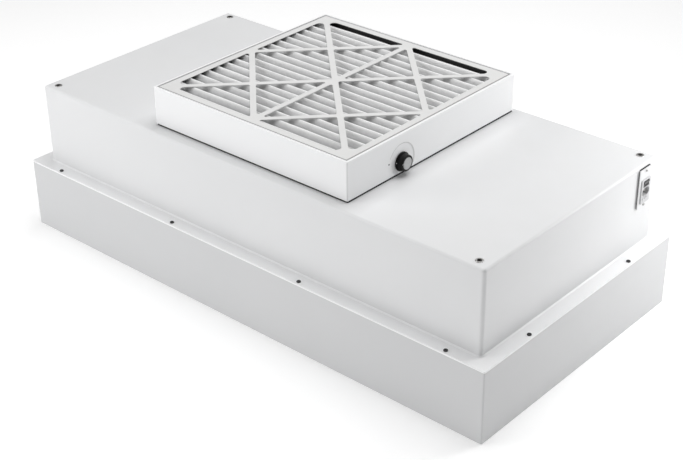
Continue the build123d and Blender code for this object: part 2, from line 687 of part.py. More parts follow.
with BuildPart() as power_gasket:
    with BuildSketch(END_FACE):
        with Locations((INLET_Y, PLATE_Z)):
            RectangleRounded(36, 84, 3)
        with Locations((INLET_Y, MODULE_Z)):
            Rectangle(*CUTOUT, mode=Mode.SUBTRACT)
        with Locations(*PLATE_SCREWS):
            Circle(2, mode=Mode.SUBTRACT)
    extrude(amount=POWER_GASKET_T)
power_gasket.part.label = "power_gasket"
export_step(power_gasket.part, "parts/power_gasket.step")

MODULE_W, MODULE_H = 26.8, 46.8

with BuildPart() as power_plate:
    with BuildSketch(PLATE_FACE):
        with Locations((INLET_Y, PLATE_Z)):
            RectangleRounded(42, 82, 2)
        with Locations((INLET_Y, MODULE_Z)):
            Rectangle(MODULE_W + 0.6, MODULE_H + 0.6, mode=Mode.SUBTRACT)
        with Locations(*PLATE_SCREWS):
            Circle(1.8, mode=Mode.SUBTRACT)
    extrude(amount=-POWER_PLATE_T)
power_plate.part.label = "power_plate"
export_step(power_plate.part, "parts/power_plate.step")

with BuildPart() as power_plate_screws:
    with Locations(*[Location((PLATE_X, y, z), (0, 90, 0)) for y, z in PLATE_SCREWS]):
        add(pan_screw(shank_r=1.5, length=9, head_r=2.8, head_h=1.8))
power_plate_screws.part.label = "power_plate_screws"
export_step(power_plate_screws.part, "parts/power_plate_screws.step")

BEZEL_T = 2.5
MODULE_FACE = PLATE_FACE.offset(BEZEL_T)
MODULE_X = PLATE_X + BEZEL_T
ROCKER_Z = MODULE_Z + 15.5
SOCKET_Z = MODULE_Z - 1.5
FUSE_Z = MODULE_Z - 16.5
ROCKER_WELL = (19.6, 13.8)
FUSE_SLOT = (20.4, 8.0)
SOCKET_DEPTH = 16.0
PIN = (2.0, 4.0)
PIN_L = 37.0
PINS = [(INLET_Y - 7, SOCKET_Z - 2), (INLET_Y + 7, SOCKET_Z - 2), (INLET_Y, SOCKET_Z + 2)]

with BuildPart() as inlet_module:
    with BuildSketch(PLATE_FACE):
        with Locations((INLET_Y, MODULE_Z)):
            RectangleRounded(30, 50, 2)
    extrude(amount=BEZEL_T)
    fillet(inlet_module.faces().sort_by(Axis.X)[-1].edges(), radius=0.6)
    with BuildSketch(PLATE_FACE):
        with Locations((INLET_Y, MODULE_Z)):
            RectangleRounded(MODULE_W, MODULE_H, 1)
    extrude(amount=-30)
    with BuildSketch(MODULE_FACE):
        with Locations((INLET_Y, ROCKER_Z)):
            Rectangle(*ROCKER_WELL)
    extrude(amount=-13, mode=Mode.SUBTRACT)
    with BuildSketch(MODULE_FACE):
        with Locations((INLET_Y, SOCKET_Z)):
            socket = Rectangle(24.2, 16.6)
            chamfer(socket.vertices().group_by(Axis.Z)[-1], length=4.5)
    extrude(amount=-SOCKET_DEPTH, mode=Mode.SUBTRACT)
    with BuildSketch(MODULE_FACE):
        with Locations((INLET_Y, FUSE_Z)):
            Rectangle(*FUSE_SLOT)
    extrude(amount=-27, mode=Mode.SUBTRACT)
    with BuildSketch(MODULE_FACE.offset(-4)):
        with Locations(*PINS):
            Rectangle(*PIN)
    extrude(amount=-PIN_L, mode=Mode.SUBTRACT)
inlet_module.part.label = "inlet_module"
export_step(inlet_module.part, "parts/inlet_module.step")

with BuildPart() as inlet_pins:
    with BuildSketch(MODULE_FACE.offset(-4)):
        with Locations(*PINS):
            Rectangle(*PIN)
    extrude(amount=-PIN_L)
inlet_pins.part.label = "inlet_pins"
export_step(inlet_pins.part, "parts/inlet_pins.step")

# The rocker rests with its lower half pressed in.
ROCKER_X = MODULE_X - 3.5
ROCKER_R = 6.4
ROCKER_TILT = radians(-9)

with BuildPart() as power_rocker:
    lean = (cos(ROCKER_TILT), 0, sin(ROCKER_TILT))
    with BuildSketch(Plane(origin=(ROCKER_X, INLET_Y, ROCKER_Z), x_dir=lean, z_dir=(0, -1, 0))):
        Circle(ROCKER_R)
        with BuildLine():
            Polyline((3.6, 0), (5.2, 7), (8, 7), (8, -7), (5.2, -7), close=True)
        make_face(mode=Mode.SUBTRACT)
    extrude(amount=9.3, both=True)
power_rocker.part.label = "power_rocker"
export_step(power_rocker.part, "parts/power_rocker.step")

with BuildPart() as fuse_drawer:
    with BuildSketch(MODULE_FACE.offset(0.6)):
        with Locations((INLET_Y, FUSE_Z)):
            Rectangle(FUSE_SLOT[0] - 0.8, FUSE_SLOT[1] - 0.8)
    extrude(amount=-25)
    with BuildSketch(MODULE_FACE.offset(0.6)):
        with Locations((INLET_Y, FUSE_Z + 2.2)):
            Rectangle(9, 1.6)
    extrude(amount=1.4)
    with BuildSketch(Plane.XY.offset(FUSE_Z + 3.6)):
        with Locations((MODULE_X - 12.2, INLET_Y)):
            Rectangle(21, 5.8)
    extrude(amount=-5.6, mode=Mode.SUBTRACT)
fuse_drawer.part.label = "fuse_drawer"
export_step(fuse_drawer.part, "parts/fuse_drawer.step")

with BuildPart() as fuse:
    with BuildSketch(MODULE_FACE.offset(-2.2)):
        with Locations((INLET_Y, FUSE_Z + 0.6)):
            Circle(2.5)
    extrude(amount=-20)
fuse.part.label = "fuse"
export_step(fuse.part, "parts/fuse.step")

# ---- internal cables: straight runs joined by arcs ----

CONTROL_CABLE_R = 2.2
MOTOR_CABLE_R = 3.5
BOX_BACK = END_X - SHEET - BOX_DEPTH
CONTROL_BACK = 228.5  # rear face of the speed control's body

with BuildPart() as control_cable:
    exit_y, exit_z = CABLE_EXITS[1]
    hole_x, hole_y = CABLE_HOLE
    with BuildLine() as control_route:
        FilletPolyline(
            (BOX_BACK + 6, exit_y, exit_z),
            (BOX_BACK - 90, exit_y, exit_z),
            (310, 60, exit_z),
            (hole_x, hole_y, exit_z),
            (hole_x, hole_y, KNOB_Z),
            (CONTROL_BACK, hole_y, KNOB_Z),
            radius=[60, 90, 20, 15],
        )
    with BuildSketch(Plane(control_route.line @ 0, z_dir=control_route.line % 0)):
        Circle(CONTROL_CABLE_R)
    sweep(path=control_route.line)
control_cable.part.label = "control_cable"
export_step(control_cable.part, "parts/control_cable.step")

with BuildPart() as motor_cable:
    exit_y, exit_z = CABLE_EXITS[0]
    entry_z = MOTOR_Z + 4
    with BuildLine() as motor_route:
        FilletPolyline(
            (BOX_BACK + 6, exit_y, exit_z),
            (BOX_BACK - 90, exit_y, exit_z),
            (320, 130, MOTOR_Z + 12),
            (210, FAN_Y, entry_z),
            (STATOR_FLANGE_R, FAN_Y, entry_z),
            radius=[60, 70, 60],
        )
    with BuildSketch(Plane(motor_route.line @ 0, z_dir=motor_route.line % 0)):
        Circle(MOTOR_CABLE_R)
    sweep(path=motor_route.line)
motor_cable.part.label = "motor_cable"
export_step(motor_cable.part, "parts/motor_cable.step")

with BuildPart() as cable_grommets:
    with Locations(Location((BOX_BACK, *CABLE_EXITS[0]), (0, -90, 0))):
        add(rubber_grommet(MOTOR_CABLE_R, EXIT_R, wall=1))
    with Locations(Location((BOX_BACK, *CABLE_EXITS[1]), (0, -90, 0))):
        add(rubber_grommet(CONTROL_CABLE_R, EXIT_R, wall=1))
    with Locations((*CABLE_HOLE, PLENUM_TOP)):
        add(rubber_grommet(CONTROL_CABLE_R, GROMMET_R, wall=SHEET))
cable_grommets.part.label = "cable_grommets"
export_step(cable_grommets.part, "parts/cable_grommets.step")

# ---- pre-filter housing: square collar on a dark gasket, with a pocket for the panel ----

with BuildPart() as housing_gasket:
    with BuildSketch(Plane.XY.offset(PLENUM_TOP)):
        with Locations((0.9, HOUSING_Y)):  # glued a little towards +X, nearly flush there
            RectangleRounded(HOUSING - 2, HOUSING - 2, CORNER_R)
            Rectangle(HOUSING - 34, HOUSING - 34, mode=Mode.SUBTRACT)
        with Locations(*HOUSING_SCREWS):
            Circle(2.3, mode=Mode.SUBTRACT)
    extrude(amount=GASKET_T)
housing_gasket.part.label = "housing_gasket"
export_step(housing_gasket.part, "parts/housing_gasket.step")

with BuildPart() as prefilter_housing:
    with BuildSketch(Plane.XY.offset(HOUSING_Z)):
        with Locations((0, HOUSING_Y)):
            RectangleRounded(HOUSING, HOUSING, CORNER_R)
            inner = HOUSING - 2 * THIN_SHEET
            RectangleRounded(inner, inner, CORNER_R - THIN_SHEET, mode=Mode.SUBTRACT)
    extrude(amount=HOUSING_TOP - HOUSING_Z)
    with BuildSketch(Plane.XY.offset(HOUSING_Z)):
        with Locations((0, HOUSING_Y)):
            RectangleRounded(HOUSING, HOUSING, CORNER_R)
            Rectangle(HOUSING - 40, HOUSING - 40, mode=Mode.SUBTRACT)
        with Locations(*HOUSING_SCREWS):
            Circle(2.3, mode=Mode.SUBTRACT)
    extrude(amount=THIN_SHEET)
    with BuildSketch(Plane.XY.offset(HOUSING_TOP)):
        with Locations((0, HOUSING_Y)):
            RectangleRounded(HOUSING, HOUSING, CORNER_R)
            Rectangle(POCKET, POCKET, mode=Mode.SUBTRACT)
    extrude(amount=-THIN_SHEET)
    with BuildSketch(Plane.XY.offset(SHELF_Z)):
        with Locations((0, HOUSING_Y)):
            Rectangle(POCKET + 2 * THIN_SHEET, POCKET + 2 * THIN_SHEET)
            Rectangle(POCKET, POCKET, mode=Mode.SUBTRACT)
    extrude(amount=HOUSING_TOP - SHELF_Z)
    with BuildSketch(Plane.XY.offset(SHELF_Z)):
        with Locations((0, HOUSING_Y)):
            Rectangle(POCKET + 2 * THIN_SHEET, POCKET + 2 * THIN_SHEET)
            Rectangle(POCKET - 24, POCKET - 24, mode=Mode.SUBTRACT)
    extrude(amount=THIN_SHEET)
    top_outline = prefilter_housing.edges().filter_by_position(Axis.Z, HOUSING_TOP, HOUSING_TOP).filter_by(
        lambda edge: max(abs(edge.center().X), abs(edge.center().Y - HOUSING_Y)) > POCKET / 2 + 1
    )
    fillet(top_outline, radius=1.1)
    with BuildSketch(KNOB_FACE):
        Circle(4.9)
    extrude(amount=-2 * THIN_SHEET, mode=Mode.SUBTRACT)
prefilter_housing.part.label = "prefilter_housing"
export_step(prefilter_housing.part, "parts/prefilter_housing.step")

with BuildPart() as housing_screws:
    with Locations(*[(x, y, HOUSING_Z + THIN_SHEET) for x, y in HOUSING_SCREWS]):
        add(pan_screw(shank_r=2.0, length=6.1, head_r=4.0, head_h=2.4))
housing_screws.part.label = "housing_screws"
export_step(housing_screws.part, "parts/housing_screws.step")

# ---- pre-filter panel: die-cut card frame round a pleated pad ----

CARD = 2.0
FACE_T = 1.2
PANEL_BORDER = 14.5
WINDOW = PANEL - 2 * PANEL_BORDER
STRAP = 12.0
WINDOW_CORNER_R = 10.0  # at the panel's four corners
STRAP_CORNER_R = 4.0

with BuildSketch() as die_cut:
    Rectangle(WINDOW, WINDOW)
    Rectangle(STRAP, WINDOW, mode=Mode.SUBTRACT)
    for turn in (45, 135):
        Rectangle(2 * WINDOW, STRAP, rotation=turn, mode=Mode.SUBTRACT)
    with Locations((WINDOW / 4, WINDOW / 4), (-WINDOW / 4, -WINDOW / 4)):
        Rectangle(WINDOW, STRAP, rotation=135, mode=Mode.SUBTRACT)
    with Locations((-WINDOW / 4, WINDOW / 4), (WINDOW / 4, -WINDOW / 4)):
        Rectangle(WINDOW, STRAP, rotation=45, mode=Mode.SUBTRACT)
    limit = WINDOW / 2 - STRAP
    fillet(die_cut.vertices().filter_by(lambda v: min(abs(v.X), abs(v.Y)) < limit), radius=STRAP_CORNER_R)
    fillet(die_cut.vertices().filter_by(lambda v: min(abs(v.X), abs(v.Y)) > limit), radius=WINDOW_CORNER_R)

with BuildPart() as prefilter_frame:
    with BuildSketch(Plane.XY.offset(PANEL_Z)):
        with Locations((0, HOUSING_Y)):
            Rectangle(PANEL, PANEL)
            Rectangle(PANEL - 2 * CARD, PANEL - 2 * CARD, mode=Mode.SUBTRACT)
    extrude(amount=PANEL_T)
    with BuildSketch(Plane.XY.offset(PANEL_TOP)):
        with Locations((0, HOUSING_Y)):
            Rectangle(PANEL, PANEL)
            add(die_cut.sketch, mode=Mode.SUBTRACT)
    extrude(amount=-FACE_T)
    with BuildSketch(Plane.XY.offset(PANEL_Z)):
        with Locations((0, HOUSING_Y)):
            Rectangle(PANEL, PANEL)
            Rectangle(WINDOW, WINDOW, mode=Mode.SUBTRACT)
    extrude(amount=FACE_T)
prefilter_frame.part.label = "prefilter_frame"
export_step(prefilter_frame.part, "parts/prefilter_frame.step")

PLEAT_COUNT = 18
PLEAT_RUN = 461.0
PLEAT_Y = HOUSING_Y - 6.0  # the pleats stop short of the back edge and leave a narrow slot

with BuildPart() as prefilter_media:
    media_section = Plane(origin=(0, PLEAT_Y, PANEL_Z + FACE_T + 0.1), x_dir=(0, 1, 0), z_dir=(1, 0, 0))
    with BuildSketch(media_section):
        with BuildLine():
            height = PANEL_T - 2 * FACE_T - 0.4
            Polyline(*pleat_points(PLEAT_RUN, height, PLEAT_COUNT, thickness=3.2), close=True)
        make_face()
    extrude(amount=PANEL / 2 - CARD - 0.2, both=True)
prefilter_media.part.label = "prefilter_media"
export_step(prefilter_media.part, "parts/prefilter_media.step")

# ---- speed control behind the housing's wall, and its knob ----

SHAFT_BORE_R = 3.06
CONTROL_SHAFT_R = 3.0
BUSHING_R = 4.75

with BuildPart() as speed_control:
    with BuildSketch(KNOB_FACE.offset(-THIN_SHEET)):
        RectangleRounded(36, 36, 2)
    extrude(amount=CONTROL_BACK - HOUSING_X + THIN_SHEET)
    with BuildSketch(KNOB_FACE.offset(-THIN_SHEET)):
        Circle(BUSHING_R)
    extrude(amount=8)
    with BuildSketch(KNOB_FACE.offset(8 - THIN_SHEET)):
        Circle(SHAFT_BORE_R)
    extrude(amount=-23, mode=Mode.SUBTRACT)
speed_control.part.label = "speed_control"
export_step(speed_control.part, "parts/speed_control.step")

with BuildPart() as control_nut:
    with BuildSketch(KNOB_FACE):
        RegularPolygon(7, 6, major_radius=False)
        Circle(BUSHING_R + 0.05, mode=Mode.SUBTRACT)
    extrude(amount=2.5)
control_nut.part.label = "control_nut"
export_step(control_nut.part, "parts/control_nut.step")

with BuildPart() as control_shaft:
    with BuildSketch(KNOB_FACE.offset(-14)):
        Circle(CONTROL_SHAFT_R)
    extrude(amount=26)
control_shaft.part.label = "control_shaft"
export_step(control_shaft.part, "parts/control_shaft.step")

KNOB_GAP = 1.0  # between the skirt and the housing
KNOB_DEPTH = 15.0  # from the housing to the knob's front
SKIRT_X = KNOB_GAP + 2.5  # front of the skirt
SKIRT_R = 19.0
GRIP_R = 17.2
KNOB_FRONT_R = 16.0
CAP_RECESS_R = 12.0

with BuildPart() as speed_knob:
    with BuildSketch(KNOB_SECTION):
        with BuildLine():
            Polyline(
                (KNOB_GAP, 9.5),
                (KNOB_GAP, SKIRT_R),
                (SKIRT_X, SKIRT_R),
                (SKIRT_X, GRIP_R),
                (KNOB_DEPTH - 1, KNOB_FRONT_R),
                (KNOB_DEPTH, KNOB_FRONT_R - 1),
                (KNOB_DEPTH, CAP_RECESS_R),
                (KNOB_DEPTH - 1, CAP_RECESS_R),
                (KNOB_DEPTH - 1, 0),
                (12.2, 0),
                (12.2, CONTROL_SHAFT_R + 0.02),
                (9, CONTROL_SHAFT_R + 0.02),
                (9, 9.5),
                close=True,
            )
        make_face()
    revolve(axis=KNOB_AXIS)
    with BuildSketch(KNOB_FACE.offset(SKIRT_X)):
        with PolarLocations(GRIP_R + 0.6, 24):
            Circle(1.3)
    extrude(amount=KNOB_DEPTH, mode=Mode.SUBTRACT)
speed_knob.part.label = "speed_knob"
export_step(speed_knob.part, "parts/speed_knob.step")

with BuildPart() as knob_cap:
    with BuildSketch(KNOB_FACE.offset(KNOB_DEPTH - 1)):
        Circle(CAP_RECESS_R - 0.1)
    extrude(amount=1.5)
    fillet(knob_cap.edges().sort_by(Axis.X)[-1], radius=0.4)
knob_cap.part.label = "knob_cap"
export_step(knob_cap.part, "parts/knob_cap.step")

# Both places are given clockwise from straight up, as someone facing the knob sees it.
POINTER_ANGLE = 90 + KNOB_START

with BuildPart() as knob_pointer:
    with BuildSketch(KNOB_FACE.offset(KNOB_DEPTH)):
        with PolarLocations(13.6, 1, start_angle=POINTER_ANGLE):
            Rectangle(1.4, 1.6)
    extrude(amount=0.3)
    with BuildSketch(KNOB_FACE.offset(SKIRT_X)):
        with PolarLocations(18.1, 1, start_angle=POINTER_ANGLE):
            Rectangle(1.4, 1.6)
    extrude(amount=0.3)
knob_pointer.part.label = "knob_pointer"
export_step(knob_pointer.part, "parts/knob_pointer.step")

# Printed scale: an off dot, then a band that widens clockwise.
SCALE_R = 35.0
SCALE_START, SCALE_END = 155.0, -25.0
SCALE_WIDTHS = (0.8, 2.2, 3.8)


def on_dial(radius, angle):
    """A point on the dial, the angle counted anticlockwise from +Y."""
    return radius * cos(radians(angle)), radius * sin(radians(angle))


with BuildPart() as dial_scale:
    with BuildSketch(KNOB_FACE):
        with Locations(on_dial(SCALE_R + 1, POINTER_ANGLE)):
            Circle(1.7)
    extrude(amount=0.3)
    with BuildSketch(KNOB_FACE):
        with BuildLine():
            angles = (SCALE_START, (SCALE_START + SCALE_END) / 2, SCALE_END)
            inside = [on_dial(SCALE_R, angle) for angle in angles]
            outside = [on_dial(SCALE_R + width, angle) for width, angle in zip(SCALE_WIDTHS, angles)]
            ThreePointArc(*inside)
            Line(inside[2], outside[2])
            ThreePointArc(*reversed(outside))
            Line(outside[0], inside[0])
        make_face()
    extrude(amount=0.3)
dial_scale.part.label = "dial_scale"
export_step(dial_scale.part, "parts/dial_scale.step")
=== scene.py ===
"""Fan filter unit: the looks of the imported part, its stage, its lights and its camera."""

import math

import bpy
from mathutils import Matrix, Vector, noise


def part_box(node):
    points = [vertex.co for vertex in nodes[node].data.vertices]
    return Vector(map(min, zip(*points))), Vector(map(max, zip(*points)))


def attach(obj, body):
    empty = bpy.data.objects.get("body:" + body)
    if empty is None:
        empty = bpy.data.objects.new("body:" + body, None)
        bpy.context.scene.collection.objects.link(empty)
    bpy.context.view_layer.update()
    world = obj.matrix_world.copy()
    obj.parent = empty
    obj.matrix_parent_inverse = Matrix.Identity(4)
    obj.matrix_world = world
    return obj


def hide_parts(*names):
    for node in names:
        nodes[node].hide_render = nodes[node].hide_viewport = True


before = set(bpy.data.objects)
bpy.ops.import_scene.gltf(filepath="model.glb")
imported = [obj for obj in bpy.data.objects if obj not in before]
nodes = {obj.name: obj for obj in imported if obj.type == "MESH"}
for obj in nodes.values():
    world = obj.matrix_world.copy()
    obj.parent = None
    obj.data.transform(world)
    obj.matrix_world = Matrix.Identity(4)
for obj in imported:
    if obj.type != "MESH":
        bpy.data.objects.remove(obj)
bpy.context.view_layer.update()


# ---- materials ----


class Graph:
    """The node tree of one material. Its patterns are fixed to the piece that they are on."""

    def __init__(self, name):
        self.material = bpy.data.materials.new(name)
        self.material.use_nodes = True
        self.tree = self.material.node_tree
        self.shader = self.tree.nodes["Principled BSDF"]
        self.position = self.node("ShaderNodeTexCoord").outputs["Object"]

    def node(self, kind, **settings):
        made = self.tree.nodes.new(kind)
        for key, value in settings.items():
            setattr(made, key, value)
        return made

    def feed(self, socket, value):
        """Link another node's output into the socket, or set its plain value."""
        if isinstance(value, bpy.types.NodeSocket):
            self.tree.links.new(value, socket)
        else:
            socket.default_value = value

    def scaled(self, x, y, z):
        """The position, stretched along each axis."""
        made = self.node("ShaderNodeMapping")
        self.feed(made.inputs["Vector"], self.position)
        made.inputs["Scale"].default_value = (x, y, z)
        return made.outputs["Vector"]

    def noise(self, scale, detail=2.0, roughness=0.5, vector=None):
        """Cloudy noise. scale counts its waves per metre."""
        made = self.node("ShaderNodeTexNoise")
        self.feed(made.inputs["Vector"], vector or self.position)
        made.inputs["Scale"].default_value = scale
        made.inputs["Detail"].default_value = detail
        made.inputs["Roughness"].default_value = roughness
        return made.outputs["Fac"]

    def cells(self, scale, output="Distance"):
        """Voronoi cells. scale counts them per metre."""
        made = self.node("ShaderNodeTexVoronoi")
        self.feed(made.inputs["Vector"], self.position)
        made.inputs["Scale"].default_value = scale
        return made.outputs[output]

    def ramp(self, value, *stops):
        """stops are (place, colour) with colours of three numbers."""
        made = self.node("ShaderNodeValToRGB")
        self.feed(made.inputs["Fac"], value)
        elements = made.color_ramp.elements
        while len(elements) < len(stops):
            elements.new(0.5)
        for element, (place, colour) in zip(elements, stops):
            element.position = place
            element.color = (*colour, 1)
        return made.outputs["Color"]

    def span(self, value, low, high, start=0.3, end=0.7):
        """value from start to end, turned into low to high."""
        made = self.node("ShaderNodeMapRange")
        self.feed(made.inputs["Value"], value)
        for key, number in (("From Min", start), ("From Max", end), ("To Min", low), ("To Max", high)):
            made.inputs[key].default_value = number
        return made.outputs["Result"]

    def math(self, operation, a, b=0.0, c=0.0):
        made = self.node("ShaderNodeMath", operation=operation)
        for socket, value in zip(made.inputs, (a, b, c)):
            self.feed(socket, value)
        return made.outputs["Value"]

    def distance(self, a, b):
        """How far the point (a, b) lies from the origin of its plane."""
        squares = self.math("ADD", self.math("MULTIPLY", a, a), self.math("MULTIPLY", b, b))
        return self.math("SQRT", squares)

    def mix(self, share, a, b, blend="MIX"):
        made = self.node("ShaderNodeMix", data_type="RGBA", blend_type=blend)
        for socket, value in zip((made.inputs[0], made.inputs[6], made.inputs[7]), (share, a, b)):
            self.feed(socket, (*value, 1) if isinstance(value, tuple) else value)
        return made.outputs[2]

    def axes(self, vector=None):
        made = self.node("ShaderNodeSeparateXYZ")
        self.feed(made.inputs["Vector"], vector or self.position)
        return made.outputs

    def bump(self, height, distance, strength=1.0, below=None):
        """A normal for relief that is distance metres high, laid over the normal below."""
        made = self.node("ShaderNodeBump")
        self.feed(made.inputs["Height"], height)
        made.inputs["Distance"].default_value = distance
        made.inputs["Strength"].default_value = strength
        if below is not None:
            self.feed(made.inputs["Normal"], below)
        return made.outputs["Normal"]

    def finish(self, colour, roughness, normal=None, **plain):
        """Connect the shader. plain names further inputs and their values."""
        self.feed(self.shader.inputs["Base Color"], colour)
        self.feed(self.shader.inputs["Roughness"], roughness)
        if normal is not None:
            self.feed(self.shader.inputs["Normal"], normal)
        for key, value in plain.items():
            self.shader.inputs[key.replace("_", " ")].default_value = value
        return self.material


def grey(value, blue=0.0):
    """A grey that leans towards blue by a little."""
    return (value, value + blue * 0.4, value + blue)


def powder_coat(name, level, peel=0.00006):
    """Baked powder: a soft orange peel over slow waves of tone, with a little dust on top faces."""
    g = Graph(name)
    tone = g.ramp(g.noise(2.2, 4.0), (0.32, grey(level - 0.012, 0.012)), (0.68, grey(level + 0.012, 0.010)))
    up = g.axes(g.node("ShaderNodeNewGeometry").outputs["Normal"])["Z"]
    patches = g.span(g.noise(7.0, 6.0, 0.62), 0.0, 1.0, 0.42, 0.72)
    dust = g.math("MULTIPLY", g.span(up, 0.0, 0.16, 0.6, 1.0), patches)
    colour = g.mix(dust, tone, (level * 0.90, level * 0.885, level * 0.86))
    peel_height = g.math("ADD", g.noise(520.0, 2.0, 0.45), g.math("MULTIPLY", g.noise(1500.0, 1.0), 0.25))
    waves = g.bump(g.noise(9.0, 1.0), 0.0006, 0.25)
    normal = g.bump(peel_height, peel, 0.8, waves)
    rough = g.math("ADD", g.span(g.noise(30.0, 4.0), 0.36, 0.46), g.math("MULTIPLY", dust, 0.6))
    return g.finish(colour, rough, normal, Specular_IOR_Level=0.5)


def metal(name, level, rough, warmth=0.0, spangle=0.0, streak=None):
    """Bare or plated metal. streak stretches the fine scratches along one axis."""
    g = Graph(name)
    base = (level + warmth, level + warmth * 0.4, level - warmth * 0.6)
    cloud = g.noise(60.0, 5.0, 0.6)
    if spangle:
        crystal = g.cells(spangle, output="Color")
        cloud = g.math("ADD", g.math("MULTIPLY", cloud, 0.4), g.math("MULTIPLY", g.axes(crystal)["X"], 0.6))
    dark = tuple(max(0.0, value * 0.82) for value in base)
    colour = g.ramp(cloud, (0.25, dark), (0.75, base))
    lines = g.noise(900.0, 3.0, 0.6, g.scaled(*streak) if streak else None)
    normal = g.bump(lines, 0.00002, 0.6)
    roughness = g.math("ADD", g.span(cloud, rough - 0.06, rough + 0.07, 0.2, 0.8), g.span(lines, -0.04, 0.04))
    return g.finish(colour, roughness, normal, Metallic=1.0)


def closed_foam(name, level=0.022):
    """Black closed-cell foam: fine pores over shallow dents."""
    g = Graph(name)
    pores = g.cells(1400.0)
    colour = g.ramp(g.noise(300.0, 4.0), (0.3, grey(level * 0.7)), (0.7, grey(level * 1.5, 0.002)))
    normal = g.bump(pores, 0.00015, 0.5, g.bump(g.noise(120.0, 3.0), 0.0003, 0.3))
    return g.finish(colour, g.span(g.noise(220.0), 0.78, 0.92), normal, Specular_IOR_Level=0.3)


def open_foam(name):
    """Charcoal acoustic foam with coarse open pores."""
    g = Graph(name)
    pores = g.cells(420.0)
    colour = g.ramp(pores, (0.0, grey(0.012)), (0.6, grey(0.06, 0.004)))
    normal = g.bump(pores, 0.0012, 0.8)
    return g.finish(colour, g.span(g.noise(200.0), 0.85, 0.98), normal)


def moulded(name, colour, rough, grain=0.00003, shine=0.5):
    """Injection-moulded plastic with a fine spark-eroded grain."""
    g = Graph(name)
    low = tuple(value * 0.95 for value in colour)
    high = tuple(value * 1.05 + 0.002 for value in colour)
    tone = g.ramp(g.noise(90.0, 5.0, 0.6), (0.3, low), (0.7, high))
    normal = g.bump(g.noise(2600.0, 2.0, 0.6), grain, 0.7, g.bump(g.noise(140.0, 2.0), 0.00008, 0.2))
    polish = g.span(g.noise(180.0, 4.0), rough - 0.05, rough + 0.07)
    return g.finish(tone, polish, normal, Specular_IOR_Level=shine)


def card(name):
    """White board with pressed fibres, flecks and soiled patches; its inner walls are painted dark grey as
    shade in the frame's recess.
    """
    g = Graph(name)
    low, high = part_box("prefilter_frame")
    middle, reach = (low + high) / 2, (high.x - low.x) / 2
    board, slack, skin = 0.002, 0.0009, 0.0007  # skin: the top and bottom faces stay white
    place = g.axes()
    beside = g.math("ABSOLUTE", g.math("SUBTRACT", place["X"], middle.x))
    across = g.math("ABSOLUTE", g.math("SUBTRACT", place["Y"], middle.y))
    wall = g.math("COMPARE", g.math("MAXIMUM", beside, across), reach - board, slack)
    # inner marks the frame's inner walls, which get the painted shade.
    inner = g.math("MULTIPLY", wall, g.math("COMPARE", place["Z"], middle.z, high.z - middle.z - skin))
    fibres = g.noise(420.0, 6.0, 0.65, g.scaled(1.0, 0.35, 1.0))
    flecks = g.span(g.cells(240.0), 0.0, 1.0, 0.03, 0.16)
    soft = g.ramp(g.noise(5.0, 5.0, 0.6), (0.3, (0.70, 0.70, 0.692)), (0.7, (0.77, 0.77, 0.765)))
    outside = g.mix(g.span(flecks, 0.05, 0.0, 0.0, 1.0), soft, (0.55, 0.52, 0.47))
    painted_wall_shade = g.ramp(fibres, (0.3, grey(0.022)), (0.7, grey(0.045)))
    # Painted shade: the inner walls take a near-black colour in place of the board's white.
    colour = g.mix(inner, outside, painted_wall_shade)
    normal = g.bump(fibres, 0.00012, 0.5, g.bump(g.noise(14.0, 2.0), 0.0012, 0.35))
    return g.finish(colour, g.span(fibres, 0.62, 0.78), normal, Specular_IOR_Level=0.35)


def fleece(name, low, high, level=0.93, soil=0.05):
    """Bonded polyester pad: matted crossing fibres, with painted shade that turns it greyer towards the
    valleys between the folds.
    """
    g = Graph(name)
    depth = g.math("ADD", g.span(g.axes()["Z"], 0.0, 1.0, low, high), g.span(g.noise(45.0, 4.0), -0.05, 0.05))
    # Painted shade: the colour darkens with depth, from the crests down into the valleys.
    painted_valley_shade = g.ramp(
        depth, (0.15, grey(0.46, 0.01)), (0.50, grey(0.64, 0.01)), (0.76, grey(0.90)), (0.9, grey(1.0))
    )
    one = g.noise(700.0, 5.0, 0.7, g.scaled(0.25, 1.0, 1.0))
    other = g.noise(700.0, 5.0, 0.7, g.scaled(1.0, 0.25, 0.6))
    felt = g.math("ADD", g.math("MULTIPLY", one, 0.5), g.math("MULTIPLY", other, 0.5))
    clean = g.ramp(felt, (0.3, grey(level - 0.07)), (0.65, grey(level + 0.03)))
    patches = g.span(g.noise(11.0, 6.0, 0.65), 0.0, soil * 2, 0.4, 0.75)
    soiled = g.mix(patches, clean, (level * 0.72, level * 0.70, level * 0.66))
    colour = g.mix(1.0, soiled, painted_valley_shade, "MULTIPLY")
    normal = g.bump(felt, 0.0005, 0.55)
    return g.finish(
        colour, g.span(felt, 0.85, 0.97), normal, Specular_IOR_Level=0.2, Sheen_Weight=0.25,
        Subsurface_Weight=0.7, Subsurface_Radius=(1.0, 1.0, 1.0), Subsurface_Scale=0.012,
    )


def filter_paper(name):
    """White glass-fibre paper."""
    g = Graph(name)
    fibres = g.noise(1500.0, 6.0, 0.7)
    colour = g.ramp(fibres, (0.3, (0.80, 0.80, 0.77)), (0.7, (0.88, 0.88, 0.86)))
    normal = g.bump(fibres, 0.00012, 0.5)
    return g.finish(colour, g.span(fibres, 0.82, 0.94), normal, Specular_IOR_Level=0.2)


def spun_disc(name, centre):
    """Turned aluminium disc that faces +X: rings round its own centre."""
    g = Graph(name)
    place = g.axes()
    fineness = 5200.0
    radius = g.distance(g.math("SUBTRACT", place["Y"], centre.y), g.math("SUBTRACT", place["Z"], centre.z))
    rings = g.node("ShaderNodeTexNoise", noise_dimensions="1D")
    g.feed(rings.inputs["W"], g.math("MULTIPLY", radius, fineness))
    rings.inputs["Detail"].default_value = 3.0
    rings = rings.outputs["Fac"]
    colour = g.ramp(rings, (0.25, grey(0.36, 0.004)), (0.75, grey(0.50, 0.006)))
    normal = g.bump(rings, 0.00003, 0.6)
    return g.finish(colour, g.span(rings, 0.30, 0.44), normal, Metallic=1.0)


